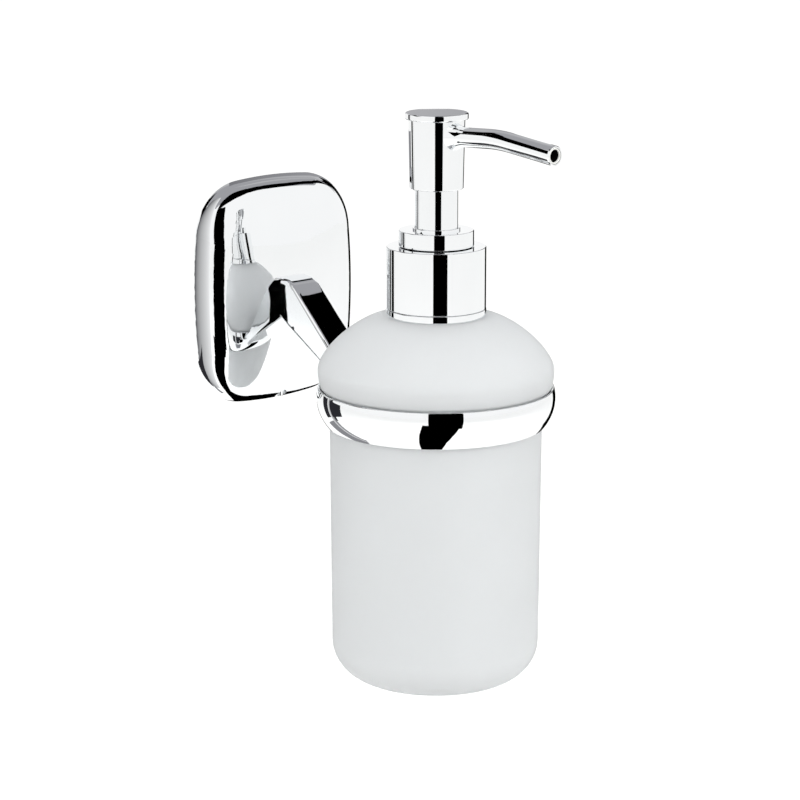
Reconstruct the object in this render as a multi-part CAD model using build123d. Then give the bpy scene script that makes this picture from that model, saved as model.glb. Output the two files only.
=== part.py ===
from build123d import *
from math import cos, radians, sin, sqrt
import os

# Wall mounted soap dispenser: a frosted glass bottle with a lotion pump stands in a
# chromed ring, which an arm carries out from a chromed cover plate on the wall.
# Millimetres, +Z up. The wall is the plane y = 0 and the dispenser stands out to -Y.
# The origin is the middle of the bracket's two screw holes, on the wall.

# ---------------------------------------------------------------- driving sizes

# Cover plate (escutcheon): a pillow-shaped shell with bowed sides.
plate_half_width = 33.7
plate_half_height = 38.9
plate_bow_sides = 3.1
plate_bow_ends = 3.0
plate_corner_radius = 19.2
plate_depth = 12.0
plate_crown_fall = 5.4
plate_crown_power = 2.6
plate_edge_width = 14.4
plate_edge_depth = 10.4
plate_edge_share = 0.72
plate_wall = 2.0

# Wall bracket behind the plate, bent from strip, with a lip along its top and bottom.
bracket_half_width = 17.0
bracket_half_height = 27.0
bracket_sheet = 2.0
bracket_lip_depth = 6.6
bracket_hole_radius = 2.6
bracket_hole_spacing = 40.0
bracket_corner_radius = 3.0
hook_half_width = 9.0
hook_height = 2.4
grub_radius = 2.0
grub_recess = 3.6
grub_boss_wall = 2.2
grub_boss_gap = 3.5
grub_hex = 2.0
grub_hex_depth = 3.0

# Arm from the plate to the ring.
arm_root_top = 5.1
arm_root_bottom = -8.2
arm_root_half_width = 6.1
arm_neck = 5.0
arm_knee_drop = 0.1
arm_end_half_width = 5.5
arm_end_top = 2.7
arm_end_bottom = 4.9
arm_knee_round = 5.0
arm_edge_round = 1.7
arm_tenon_radius = 2.6
arm_key_half_width = 3.6
arm_key_height = 9.0
arm_key_depth = 0.9
arm_screw_radius = 2.5
arm_screw_drop = 2.4
arm_screw_grip = 7.4
arm_screw_head_radius = 4.6
arm_screw_head_height = 3.2
arm_washer_radius = 5.6
arm_washer_thickness = 1.0
arm_boss_radius = 7.6
arm_boss_depth = 3.2

# Ring, its liner, and where the bottle's axis stands.
bottle_reach = 83.5
ring_height = -24.0
ring_top_wall = 0.8
ring_bulge = 0.46
ring_top_rise = 3.2
ring_bottom_drop = 9.1
ring_bottom_wall = 0.5
ring_lip_height = 3.1
liner_wall = 0.75
liner_bore_gap = 0.4

# Bottle.
body_radius = 34.4
body_foot_radius = 33.9
shoulder_swell = 0.75
shoulder_rise = 8.75
shoulder_top_radius = 16.4
shoulder_top_rise = 26.6
heel_radius = 12.2
bottle_depth = 94.0
glass_wall = 2.7
glass_base = 6.0
base_hollow = 0.8
neck_radius = 12.3
neck_bore = 9.6
neck_height = 15.7
seat_rise = 4.0
seat_run = 3.0

# Neck ring cemented on the glass, and the collar that screws onto it.
neck_ring_flange_radius = 16.1
neck_ring_flange = 2.4
neck_ring_lip = 1.0
thread_radius = 13.4
collar_radius = 16.0
collar_height = 20.0
collar_wall = 0.7
collar_hole_radius = 9.4
gasket_thickness = 1.2
flange_thickness = 1.6

# Lock nut on top of the collar.
nut_radius = 12.05
nut_height = 5.1
nut_lip_radius = 7.6
nut_lip_height = 0.7
nut_spigot_wall = 0.7

# Pump: housing, plunger, stem and valves.
housing_wall = 1.0
upper_bore = 7.4
chamber_bore = 5.5
guide_floor = 9.5
guide_height = 5.0
chamber_length = 31.5
piston_height = 5.0
stem_radius = 3.0
stem_bore = 1.5
stem_flange_radius = 4.2
stem_flange = 0.9
valve_well_depth = 4.0
valve_well_radius = 2.6
ball_radius = 2.0
ball_lift = 1.2
cage_height = 1.8
cage_hole = 1.2
socket_depth = 9.0
dip_radius = 3.0
dip_bore = 2.2
dip_floor_gap = 3.0
spring_radius = 4.3
spring_wire = 0.4
spring_turns = 8

# Head and spout.
press_travel = 12.0
head_bottom_gap = 13.2
head_bottom_radius = 8.6
head_top_radius = 9.05
head_height = 22.0
cap_radius = 10.1
cap_thickness = 2.35
cap_round = 0.6
cap_crown = 0.15
cap_spigot = 1.4
cap_spigot_radius = 7.7
sleeve_radius = 6.9
sleeve_wall = 0.8
sleeve_below_nut = 2.9
sleeve_in_head = 2.7
stem_top_below_spout = 5.6
core_top_gap = 0.4
spout_drop = 5.2
spout_radius = 3.15
spout_wall = 0.6
spout_bend_reach = 28.5
spout_tip_reach = 52.6
spout_rise_angle = 3.0
spout_fall_angle = 6.3
spout_bend_radius = 60.0
spout_root_half_width = 4.1
spout_root_half_height = 5.3
spout_root_reach = 13.5
spout_liner_wall = 0.65
core_channel = 1.6

# Clearances.
seat_gap = 0.05
running_gap = 0.05
loose_gap = 0.3
valve_gap = 0.1

# ---------------------------------------------------------------- derived places

ring_top = ring_height + ring_top_rise
ring_bottom = ring_height - ring_bottom_drop
shoulder_widest = ring_height + shoulder_rise
shoulder_top = ring_height + shoulder_top_rise
base_level = ring_height - bottle_depth
floor_level = base_level + glass_base
neck_top = shoulder_top + neck_height
collar_bottom = shoulder_top + neck_ring_flange + seat_gap
collar_top = collar_bottom + collar_height
neck_ring_top = neck_top + neck_ring_lip
gasket_top = neck_ring_top + gasket_thickness
flange_top = gasket_top + flange_thickness
nut_bottom = collar_top + 2 * valve_gap
nut_top = nut_bottom + nut_height
head_bottom = nut_top + head_bottom_gap
head_top = head_bottom + head_height
spout_level = head_top - spout_drop
cap_top = head_top + cap_thickness
guide_top = guide_floor + guide_height
piston_top = guide_floor - stem_flange - 2 * valve_gap
piston_bottom = piston_top - piston_height
chamber_floor = guide_floor - chamber_length
valve_seat = chamber_floor - valve_well_depth
ball_rise = sqrt(ball_radius**2 - stem_bore**2) + valve_gap
sleeve_bottom = nut_top - sleeve_below_nut
sleeve_top = head_bottom + sleeve_in_head
head_bore = sleeve_radius + running_gap
stem_top = spout_level - stem_top_below_spout
liner_bore = body_radius + liner_bore_gap
liner_radius = liner_bore + liner_wall
dip_socket_top = valve_seat - flange_thickness
dip_bottom = floor_level + dip_floor_gap


# ---------------------------------------------------------------- helpers

def on_bottle_axis(shape):
    """Moves a shape made about the Z axis onto the bottle's axis."""
    return Pos(0, -bottle_reach, 0) * shape


def turn(*edges):
    """Turns a closed outline of edges in the XZ plane about the bottle's axis."""
    return on_bottle_axis(revolve(make_face(edges), Axis.Z, 360))


def turned(*points):
    """Turns the closed polygon of (radius, height) points about the bottle's axis."""
    outline = Polyline(*[(r, 0, z) for r, z in points], close=True)
    return turn(*outline.edges())


def tube(outer, inner, bottom, top):
    """Plain tube about the bottle's axis."""
    return turned((inner, bottom), (outer, bottom), (outer, top), (inner, top))


def disc(radius, bottom, top):
    """Plain disc about the bottle's axis."""
    return on_bottle_axis(Pos(0, 0, (bottom + top) / 2) * Cylinder(radius, top - bottom))


def peg(radius, start, end):
    """Round bar between two points."""
    start, end = Vector(*start), Vector(*end)
    way = end - start
    return Plane(origin=start + way * 0.5, z_dir=way) * Cylinder(radius, way.length)


def block(low, high):
    """Rectangular block between its lowest and highest corners."""
    size = [b - a for a, b in zip(low, high)]
    middle = [(a + b) / 2 for a, b in zip(low, high)]
    return Pos(*middle) * Box(*size)


# ---------------------------------------------------------------- cover plate

# Shares of the outline at which the pillow's form is drawn, from its rim to its flat middle.
plate_shares = (1, 0.997, 0.985, 0.96, 0.92, 0.86, 0.79, 0.7, 0.6, 0.5, 0.4, 0.3, 0.2)


def plate_level(share):
    """How far the plate stands off the wall where its outline is scaled by a share."""
    if share < plate_edge_share:
        return plate_depth - plate_crown_fall * share**plate_crown_power
    reach = 1 - plate_half_width * (1 - share) / plate_edge_width
    return plate_edge_depth * sqrt(1 - reach**2)


def pillow(inset):
    """The plate's outer form, or the hollow an inset inside it."""
    corner_x = plate_half_width - plate_bow_sides
    corner_z = plate_half_height - plate_bow_ends
    outline = make_face([
        ThreePointArc((corner_x, 0, -corner_z), (plate_half_width, 0, 0), (corner_x, 0, corner_z)),
        ThreePointArc((corner_x, 0, corner_z), (0, 0, plate_half_height), (-corner_x, 0, corner_z)),
        ThreePointArc((-corner_x, 0, corner_z), (-plate_half_width, 0, 0),
                      (-corner_x, 0, -corner_z)),
        ThreePointArc((-corner_x, 0, -corner_z), (0, 0, -plate_half_height),
                      (corner_x, 0, -corner_z)),
    ])
    outline = fillet(outline.vertices(), plate_corner_radius)
    shrink = 1 - inset / plate_half_width
    layers = [Pos(0, inset - plate_level(share), 0) * scale(outline, by=share * shrink)
              for share in plate_shares]
    return loft(layers)


plate_form = pillow(0)
arm_screw_height = -arm_screw_drop
boss_face = plate_wall + arm_boss_depth
grub_line = (bracket_sheet + bracket_lip_depth) / 2
grub_top = -bracket_half_height - seat_gap
grub_bottom = grub_recess - plate_half_height

# Pads inside the plate: the boss behind the arm, the hook over the bracket's top lip,
# and the threaded boss for the grub screw in the bottom edge.
inner_pads = [
    peg(arm_boss_radius, (0, -plate_depth, arm_screw_height),
        (0, boss_face - plate_depth, arm_screw_height)),
    block((-hook_half_width, -plate_depth, bracket_half_height + seat_gap),
          (hook_half_width, -bracket_sheet - seat_gap,
           bracket_half_height + seat_gap + hook_height)),
    peg(grub_radius + grub_boss_wall, (0, -grub_line, -plate_half_height),
        (0, -grub_line, grub_top - grub_boss_gap)),
]
key_pocket = block(
    (-arm_key_half_width - seat_gap, -plate_depth - 1,
     arm_screw_height - arm_key_height / 2 - seat_gap),
    (arm_key_half_width + seat_gap, arm_key_depth + seat_gap - plate_depth,
     arm_screw_height + arm_key_height / 2 + seat_gap),
)
escutcheon = plate_form - pillow(plate_wall)
for pad in inner_pads:
    escutcheon += pad & plate_form
escutcheon -= key_pocket
escutcheon -= peg(arm_screw_radius + loose_gap, (0, -plate_depth - 1, arm_screw_height),
                  (0, 0, arm_screw_height))
escutcheon -= peg(grub_radius + seat_gap, (0, -grub_line, -plate_half_height - 1),
                  (0, -grub_line, grub_top))

# ---------------------------------------------------------------- wall bracket

back_sheet = block((-bracket_half_width, -bracket_sheet, -bracket_half_height),
                   (bracket_half_width, 0, bracket_half_height))
back_sheet = fillet(back_sheet.edges().filter_by(Axis.Y), bracket_corner_radius)
wall_bracket = back_sheet
for side in (1, -1):
    outer_face = side * bracket_half_height
    inner_face = side * (bracket_half_height - bracket_sheet)
    lip_half_width = bracket_half_width - bracket_corner_radius
    wall_bracket += block(
        (-lip_half_width, -bracket_lip_depth, min(outer_face, inner_face)),
        (lip_half_width, -bracket_sheet / 2, max(outer_face, inner_face)))
    hole_height = side * bracket_hole_spacing / 2
    wall_bracket -= peg(bracket_hole_radius, (0, 1, hole_height),
                        (0, -bracket_sheet - 1, hole_height))

grub_screw = peg(grub_radius, (0, -grub_line, grub_bottom), (0, -grub_line, grub_top))
grub_socket = Plane(origin=(0, -grub_line, grub_bottom), z_dir=(0, 0, 1)) * RegularPolygon(
    grub_hex / 2, 6, major_radius=False)
grub_screw -= extrude(grub_socket, amount=grub_hex_depth)


# ---------------------------------------------------------------- ring and liner

seat_length = sqrt(seat_rise**2 + seat_run**2)
seat_out = (seat_rise / seat_length, -seat_run / seat_length)
seat_up = (seat_run / seat_length, seat_rise / seat_length)
seat_foot = (body_radius, ring_height - 0.4)


def seat_point(offset, along):
    """Point at a distance out from the bottle's seat cone and up along it."""
    return tuple(foot + offset * out + along * up
                 for foot, out, up in zip(seat_foot, seat_out, seat_up))


def seat_at(offset, radius):
    """Point at a given radius on the line an offset out from the bottle's seat cone."""
    along = (radius - seat_point(offset, 0)[0]) / seat_up[0]
    return seat_point(offset, along)


def flat_edges(*points):
    """Straight edges through (radius, height) points, left open."""
    return Polyline(*[(r, 0, z) for r, z in points]).edges()


seat_at_ring_top = seat_foot[0] + (ring_top - seat_foot[1]) * seat_run / seat_rise
ring_top_radius = seat_at_ring_top + loose_gap + ring_top_wall
ring_radius = ring_top_radius + ring_bulge
ring_lip_bore = body_radius + liner_bore_gap
ring_groove = liner_radius + running_gap
ring_lip_top = ring_bottom + ring_lip_height
liner_offset = loose_gap + liner_wall
liner_run = seat_length * 0.62
ring_outside = ThreePointArc((ring_lip_bore + ring_bottom_wall, 0, ring_bottom),
                             (ring_radius, 0, ring_height), (ring_top_radius, 0, ring_top))
ring_hollow = turned(
    (0, ring_top + 1),
    (ring_top_radius - ring_bottom_wall, ring_top + 1),
    seat_at(loose_gap, ring_top_radius - ring_bottom_wall),
    seat_point(loose_gap, liner_run + running_gap),
    seat_point(liner_offset + running_gap, liner_run + running_gap),
    seat_at(liner_offset + running_gap, ring_groove),
    (ring_groove, ring_lip_top),
    (ring_lip_bore, ring_lip_top),
    (ring_lip_bore, ring_bottom - 1),
    (0, ring_bottom - 1),
)
ring_form = turn(ring_outside, *flat_edges((ring_top_radius, ring_top), (0, ring_top),
                                           (0, ring_bottom),
                                           (ring_lip_bore + ring_bottom_wall, ring_bottom)))
ring_back = ring_radius - bottle_reach
ring_inner_back = ring_groove - bottle_reach
holder_ring = ring_form - ring_hollow
holder_ring -= peg(arm_tenon_radius + seat_gap, (0, ring_inner_back - 1, ring_height),
                   (0, ring_back + 1, ring_height))

ring_liner = turned(
    (liner_bore, ring_lip_top + seat_gap),
    (liner_radius, ring_lip_top + seat_gap),
    seat_at(liner_offset, liner_radius),
    seat_point(liner_offset, liner_run),
    seat_point(loose_gap, liner_run),
    seat_at(loose_gap, liner_bore),
)

# ---------------------------------------------------------------- arm

knee = -plate_depth - arm_neck
arm_top = ring_height + arm_end_top
arm_bottom = ring_height - arm_end_bottom
arm_end = ring_back - ring_bottom_wall
arm_side = Plane.YZ * make_face(Polyline(
    (0, arm_root_top), (knee, arm_root_top - arm_knee_drop), (arm_end, arm_top),
    (arm_end, arm_bottom), (-plate_depth, arm_root_bottom), (0, arm_root_bottom),
    close=True))
knee_corner = min(arm_side.vertices(),
                  key=lambda v: (v.Y - knee)**2 + (v.Z - arm_root_top + arm_knee_drop)**2)
arm_side = fillet(knee_corner, arm_knee_round)
arm_plan = make_face(Polyline(
    (arm_root_half_width, 1), (arm_root_half_width, -plate_depth),
    (arm_end_half_width, arm_end - 1), (-arm_end_half_width, arm_end - 1),
    (-arm_root_half_width, -plate_depth), (-arm_root_half_width, 1), close=True))
arm_bar = extrude(arm_side, amount=arm_root_half_width, both=True) & Pos(
    0, 0, arm_bottom - 1) * extrude(arm_plan, amount=arm_root_top - arm_bottom + 2)
side_edges = [edge for edge in arm_bar.edges()
              if abs(edge.center().X) > arm_end_half_width / 2
              and arm_end + 1 < edge.center().Y < -1 and abs(edge.tangent_at(0.5).Z) < 0.95]
arm_bar = fillet(side_edges, arm_edge_round)

screw_end = -plate_depth - arm_screw_grip
key = block(
    (-arm_key_half_width, -plate_depth - 1, arm_screw_height - arm_key_height / 2),
    (arm_key_half_width, arm_key_depth - plate_depth, arm_screw_height + arm_key_height / 2))
holder_arm = arm_bar - plate_form - ring_form + key
holder_arm += peg(arm_tenon_radius, (0, ring_inner_back - 1, ring_height),
                  (0, ring_back + arm_tenon_radius, ring_height)) - ring_hollow
holder_arm -= peg(arm_screw_radius + seat_gap, (0, 0, arm_screw_height),
                  (0, screw_end - 1, arm_screw_height))

washer_front = boss_face - plate_depth + seat_gap
washer_back = washer_front + arm_washer_thickness
arm_washer = peg(arm_washer_radius, (0, washer_front, arm_screw_height),
                 (0, washer_back, arm_screw_height))
arm_washer -= peg(arm_screw_radius + loose_gap, (0, washer_front - 1, arm_screw_height),
                  (0, washer_back + 1, arm_screw_height))
head_face = washer_back + seat_gap
arm_screw = peg(arm_screw_radius, (0, screw_end, arm_screw_height),
                (0, head_face, arm_screw_height))
arm_screw += peg(arm_screw_head_radius, (0, head_face, arm_screw_height),
                 (0, head_face + arm_screw_head_height, arm_screw_height))
arm_screw_socket = Plane(origin=(0, head_face + arm_screw_head_height, arm_screw_height),
                         z_dir=(0, -1, 0)) * RegularPolygon(arm_screw_radius * 0.8, 6)
arm_screw -= extrude(arm_screw_socket, amount=arm_screw_head_height * 0.6)

# ---------------------------------------------------------------- bottle

seat_top = seat_point(0, seat_length)
shoulder_radius = seat_top[0] + shoulder_swell
heel_centre = (body_foot_radius - heel_radius, base_level + heel_radius)
heel_middle = (heel_centre[0] + heel_radius * sin(radians(45)),
               heel_centre[1] - heel_radius * cos(radians(45)))
inner_body = body_radius - glass_wall
inner_foot = body_foot_radius - glass_wall
inner_heel = heel_radius - glass_wall
inner_heel_centre = (inner_foot - inner_heel, floor_level + inner_heel)
inner_heel_middle = (inner_heel_centre[0] + inner_heel * sin(radians(45)),
                     inner_heel_centre[1] - inner_heel * cos(radians(45)))
inner_seat_foot = seat_at(-glass_wall, inner_body)
inner_seat_top = seat_point(-glass_wall, seat_length)
inner_shoulder = shoulder_radius - glass_wall
shoulder_pull = (shoulder_radius - shoulder_top_radius) * 0.38
shoulder_lift = (shoulder_top - shoulder_widest) * 0.34


def curve(*points):
    """Bezier curve through (radius, height) control points in the XZ plane."""
    return Bezier(*[(r, 0, z) for r, z in points])


def bend(start, middle, end):
    """Arc through three (radius, height) points in the XZ plane."""
    return ThreePointArc(*[(r, 0, z) for r, z in (start, middle, end)])


bottle = turn(
    *flat_edges((0, floor_level), (0, base_level + base_hollow),
                (heel_centre[0] * 0.75, base_level), (heel_centre[0], base_level)),
    bend((heel_centre[0], base_level), heel_middle, (body_foot_radius, heel_centre[1])),
    *flat_edges((body_foot_radius, heel_centre[1]), seat_foot, seat_top),
    curve(seat_top, (shoulder_radius, (seat_top[1] + shoulder_widest) / 2),
          (shoulder_radius, shoulder_widest)),
    curve((shoulder_radius, shoulder_widest), (shoulder_radius, shoulder_widest + shoulder_lift),
          (shoulder_top_radius + shoulder_pull, shoulder_top),
          (shoulder_top_radius, shoulder_top)),
    *flat_edges((shoulder_top_radius, shoulder_top), (neck_radius, shoulder_top),
                (neck_radius, neck_top), (neck_bore, neck_top),
                (neck_bore, shoulder_top - glass_wall)),
    curve((neck_bore, shoulder_top - glass_wall),
          (shoulder_top_radius + shoulder_pull - glass_wall, shoulder_top - glass_wall),
          (inner_shoulder, shoulder_widest + shoulder_lift - glass_wall / 2),
          (inner_shoulder, shoulder_widest)),
    curve((inner_shoulder, shoulder_widest),
          (inner_shoulder, (inner_seat_top[1] + shoulder_widest) / 2), inner_seat_top),
    *flat_edges(inner_seat_top, inner_seat_foot, (inner_foot, inner_heel_centre[1])),
    bend((inner_foot, inner_heel_centre[1]), inner_heel_middle,
         (inner_heel_centre[0], floor_level)),
    *flat_edges((inner_heel_centre[0], floor_level), (0, floor_level)),
)

neck_ring = turned(
    (neck_radius + seat_gap, shoulder_top + seat_gap),
    (neck_ring_flange_radius, shoulder_top + seat_gap),
    (neck_ring_flange_radius, shoulder_top + neck_ring_flange),
    (thread_radius, shoulder_top + neck_ring_flange),
    (thread_radius, neck_ring_top),
    (neck_bore, neck_ring_top),
    (neck_bore, neck_top + seat_gap),
    (neck_radius + seat_gap, neck_top + seat_gap),
)

# ---------------------------------------------------------------- collar and lock nut

insert_radius = collar_radius - collar_wall - seat_gap
insert_top = collar_top - collar_wall - seat_gap
collar_shell = turned(
    (collar_radius - collar_wall, collar_bottom), (collar_radius, collar_bottom),
    (collar_radius, collar_top), (collar_hole_radius, collar_top),
    (collar_hole_radius, collar_top - collar_wall),
    (collar_radius - collar_wall, collar_top - collar_wall),
)
web_bottom = flange_top + valve_gap
collar_insert = turned(
    (thread_radius + running_gap, collar_bottom), (insert_radius, collar_bottom),
    (insert_radius, insert_top), (collar_hole_radius, insert_top),
    (collar_hole_radius, web_bottom), (thread_radius + running_gap, web_bottom),
)

spigot_bore = upper_bore + housing_wall + valve_gap
nut_bore = sleeve_radius + running_gap
lock_nut = turned(
    (spigot_bore, flange_top + seat_gap),
    (spigot_bore + nut_spigot_wall, flange_top + seat_gap),
    (spigot_bore + nut_spigot_wall, nut_bottom), (nut_radius, nut_bottom),
    (nut_radius, nut_top), (nut_lip_radius, nut_top),
    (nut_lip_radius, nut_top + nut_lip_height), (nut_bore, nut_top + nut_lip_height),
    (nut_bore, nut_bottom + nut_height / 3), (spigot_bore, nut_bottom + nut_height / 3),
)

# ---------------------------------------------------------------- pump

chamber_radius = chamber_bore + housing_wall
socket_radius = dip_radius + seat_gap + housing_wall
upper_radius = upper_bore + housing_wall
housing_top = nut_bottom + nut_height / 3 - valve_gap
dip_socket_bottom = dip_socket_top - socket_depth
flange_radius = thread_radius - valve_gap
pump_housing = turned(
    (upper_bore, housing_top), (upper_bore, guide_floor), (chamber_bore, guide_floor),
    (chamber_bore, chamber_floor), (valve_well_radius, chamber_floor),
    (valve_well_radius, valve_seat), (stem_bore, valve_seat), (stem_bore, dip_socket_top),
    (dip_radius + seat_gap, dip_socket_top), (dip_radius + seat_gap, dip_socket_bottom),
    (socket_radius, dip_socket_bottom), (socket_radius, chamber_floor - housing_wall),
    (chamber_radius, chamber_floor - housing_wall),
    (chamber_radius, guide_floor - housing_wall),
    (upper_radius, guide_floor - housing_wall), (upper_radius, gasket_top),
    (flange_radius, gasket_top), (flange_radius, flange_top),
    (upper_radius, flange_top), (upper_radius, housing_top),
)
neck_gasket = tube(flange_radius, neck_bore, neck_ring_top, gasket_top)
stem_guide = tube(upper_bore - seat_gap, stem_radius + running_gap, guide_floor, guide_top)

cage_top = chamber_floor + cage_height
valve_cage = tube(chamber_bore - seat_gap, cage_hole, chamber_floor, cage_top)
valve_cage -= disc(valve_well_radius, chamber_floor - 1, chamber_floor + cage_height / 2)
for quarter in (0, 90):
    slot = Rot(0, 0, quarter) * Box(2 * valve_well_radius, cage_hole, 3 * cage_height)
    valve_cage -= on_bottle_axis(Pos(0, 0, chamber_floor) * slot)

spring_bottom = cage_top + spring_wire + valve_gap
spring_top = piston_bottom - stem_flange - spring_wire - valve_gap
spring_path = Pos(0, 0, spring_bottom) * Helix(
    (spring_top - spring_bottom) / spring_turns, spring_top - spring_bottom, spring_radius)
spring_section = Plane(origin=spring_path @ 0, z_dir=spring_path % 0) * Circle(spring_wire)
return_spring = on_bottle_axis(sweep(spring_section, path=spring_path, is_frenet=True))

dip_tube = tube(dip_radius, dip_bore, dip_bottom, dip_socket_top - seat_gap)
dip_tube -= on_bottle_axis(Pos(0, 0, dip_bottom) * Rot(35, 0, 0)
                           * Pos(0, 0, -dip_radius) * Box(4 * dip_radius, 4 * dip_radius, 2 * dip_radius))


def ball(seat):
    """Valve ball lying on the rim of a bore at the height of its seat."""
    return on_bottle_axis(Pos(0, 0, seat + ball_rise) * Sphere(ball_radius))


inlet_ball = ball(valve_seat)
outlet_ball = ball(stem_top)

piston_lip = 1.2
piston = turned(
    (stem_radius + running_gap, piston_bottom), (chamber_bore - 3 * running_gap, piston_bottom),
    (chamber_bore - running_gap, piston_bottom + running_gap * 4),
    (chamber_bore - running_gap, piston_bottom + piston_lip),
    (chamber_bore - 4 * running_gap, piston_bottom + piston_lip * 1.4),
    (chamber_bore - 4 * running_gap, piston_top - piston_lip * 1.4),
    (chamber_bore - running_gap, piston_top - piston_lip),
    (chamber_bore - running_gap, piston_top), (stem_radius + running_gap, piston_top),
)
piston_stem = turned(
    (stem_bore, piston_bottom - stem_flange - running_gap),
    (stem_flange_radius, piston_bottom - stem_flange - running_gap),
    (stem_flange_radius, piston_bottom - running_gap),
    (stem_radius, piston_bottom - running_gap),
    (stem_radius, piston_top + running_gap),
    (stem_flange_radius, piston_top + running_gap),
    (stem_flange_radius, piston_top + running_gap + stem_flange),
    (stem_radius, piston_top + running_gap + stem_flange),
    (stem_radius, stem_top), (stem_bore, stem_top),
)

# ---------------------------------------------------------------- head and spout

stem_sleeve = tube(sleeve_radius, sleeve_radius - sleeve_wall, sleeve_bottom, sleeve_top)

spigot_bottom = head_top - cap_spigot
bottom_chamfer = 0.4
pump_head = turned(
    (head_bore, head_bottom), (head_bottom_radius - bottom_chamfer, head_bottom),
    (head_bottom_radius, head_bottom + bottom_chamfer), (head_top_radius, head_top),
    (cap_spigot_radius + seat_gap, head_top), (cap_spigot_radius + seat_gap, spigot_bottom),
    (head_bore, spigot_bottom),
)
head_form = turned((0, head_bottom), (head_bottom_radius, head_bottom),
                   (head_top_radius, head_top), (0, head_top))

cap_rim = head_top + seat_gap
cap_corner = cap_radius - cap_round
cap_edge = cap_top - cap_crown
cap_dome = (cap_corner**2 + cap_crown**2) / (2 * cap_crown)
cap_bevel = cap_round * sin(radians(45))
cap_halfway = cap_top - cap_dome + sqrt(cap_dome**2 - (cap_corner / 2)**2)
head_cap = turn(
    *flat_edges((0, cap_top), (0, spigot_bottom + seat_gap),
                (cap_spigot_radius, spigot_bottom + seat_gap), (cap_spigot_radius, cap_rim),
                (cap_corner, cap_rim)),
    bend((cap_corner, cap_rim), (cap_corner + cap_bevel, cap_rim + cap_round - cap_bevel),
         (cap_radius, cap_rim + cap_round)),
    *flat_edges((cap_radius, cap_rim + cap_round), (cap_radius, cap_edge - cap_round)),
    bend((cap_radius, cap_edge - cap_round),
         (cap_corner + cap_bevel, cap_edge - cap_round + cap_bevel),
         (cap_corner, cap_edge)),
    bend((cap_corner, cap_edge), (cap_corner / 2, cap_halfway), (0, cap_top)),
)

# The spout rises a little from the head, bends, and falls a little to its tip.
bend_level = spout_level + spout_bend_reach * sin(radians(spout_rise_angle))
tip_level = bend_level - (spout_tip_reach - spout_bend_reach) * sin(radians(spout_fall_angle))


def spout_bar(radius, start_reach):
    """Round bar along the spout's line, from a distance inside the head to the tip."""
    start_level = spout_level + start_reach * sin(radians(spout_rise_angle))
    line = FilletPolyline(
        (0, -start_reach, start_level), (0, -spout_bend_reach, bend_level),
        (0, -spout_tip_reach, tip_level), radius=spout_bend_radius)
    section = Plane(origin=line @ 0, z_dir=line % 0) * Circle(radius)
    return on_bottle_axis(sweep(section, path=line))


spout_start = head_bore + (head_bottom_radius - head_bore) / 2
liner_start = head_bore - 2 * spout_wall
root_level = spout_level + spout_root_reach * sin(radians(spout_rise_angle))
root_plane = Plane(origin=(0, -bottle_reach, root_level), x_dir=(1, 0, 0), z_dir=(0, -1, 0))
root_cone = root_plane * loft([
    Pos(0, 0, head_bore) * Ellipse(spout_root_half_width, spout_root_half_height),
    Pos(0, 0, spout_root_reach) * Circle(spout_radius),
])
spout_bore = spout_radius - spout_wall
spout_hole = spout_bar(spout_radius + seat_gap, 1)
spout = spout_bar(spout_radius, spout_start) + (root_cone - head_form
                                                - disc(2 * cap_radius, head_top, cap_top))
spout -= spout_bar(spout_bore, 1)
spout_liner = spout_bar(spout_bore - seat_gap, liner_start)
spout_liner -= spout_bar(spout_bore - seat_gap - spout_liner_wall, 1)
pump_head -= spout_hole

core_radius = head_bore - seat_gap
core_bottom = sleeve_top + seat_gap
core_top = spigot_bottom - core_top_gap
valve_roof = stem_top + ball_rise + ball_radius + ball_lift + valve_gap
head_core = disc(core_radius, core_bottom, core_top)
head_core -= disc(stem_radius + seat_gap, core_bottom - 1, stem_top + seat_gap)
head_core -= disc(valve_well_radius, stem_top, valve_roof)
head_core -= spout_bar(core_channel, 0)
head_core -= spout_bar(spout_bore, liner_start - seat_gap)

# ---------------------------------------------------------------- export

nodes = {
    "wall_bracket": wall_bracket,
    "escutcheon": escutcheon,
    "grub_screw": grub_screw,
    "holder_arm": holder_arm,
    "arm_screw": arm_screw,
    "arm_washer": arm_washer,
    "holder_ring": holder_ring,
    "ring_liner": ring_liner,
    "bottle": bottle,
    "neck_ring": neck_ring,
    "neck_gasket": neck_gasket,
    "pump_housing": pump_housing,
    "stem_guide": stem_guide,
    "valve_cage": valve_cage,
    "inlet_ball": inlet_ball,
    "return_spring": return_spring,
    "dip_tube": dip_tube,
    "lock_nut": lock_nut,
    "collar_shell": collar_shell,
    "collar_insert": collar_insert,
    "piston": piston,
    "piston_stem": piston_stem,
    "outlet_ball": outlet_ball,
    "stem_sleeve": stem_sleeve,
    "pump_head": pump_head,
    "head_core": head_core,
    "head_cap": head_cap,
    "spout": spout,
    "spout_liner": spout_liner,
}
os.makedirs("parts", exist_ok=True)
for name, shape in nodes.items():
    export_step(shape, f"parts/{name}.step")
    size = shape.bounding_box().size
    print(f"{name}: {len(shape.solids())} solid, {shape.volume:.1f} mm3, "
          f"{size.X:.1f} x {size.Y:.1f} x {size.Z:.1f} mm")
print(f"bottle lifts {ring_top - base_level:.1f} mm to leave the ring")
print(f"pump presses {press_travel} mm of the {head_bottom_gap} mm above the nut")
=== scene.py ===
# %% [markdown]
# # A wall mounted soap dispenser
# A frosted glass bottle with a chromed pump stands in a chromed ring, which an arm carries
# out from a cover plate on the wall. The solids of a finished CAD model are loaded first as
# a fixed frame. Everything below is dressed onto that frame, in metres, at the same place.

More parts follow.
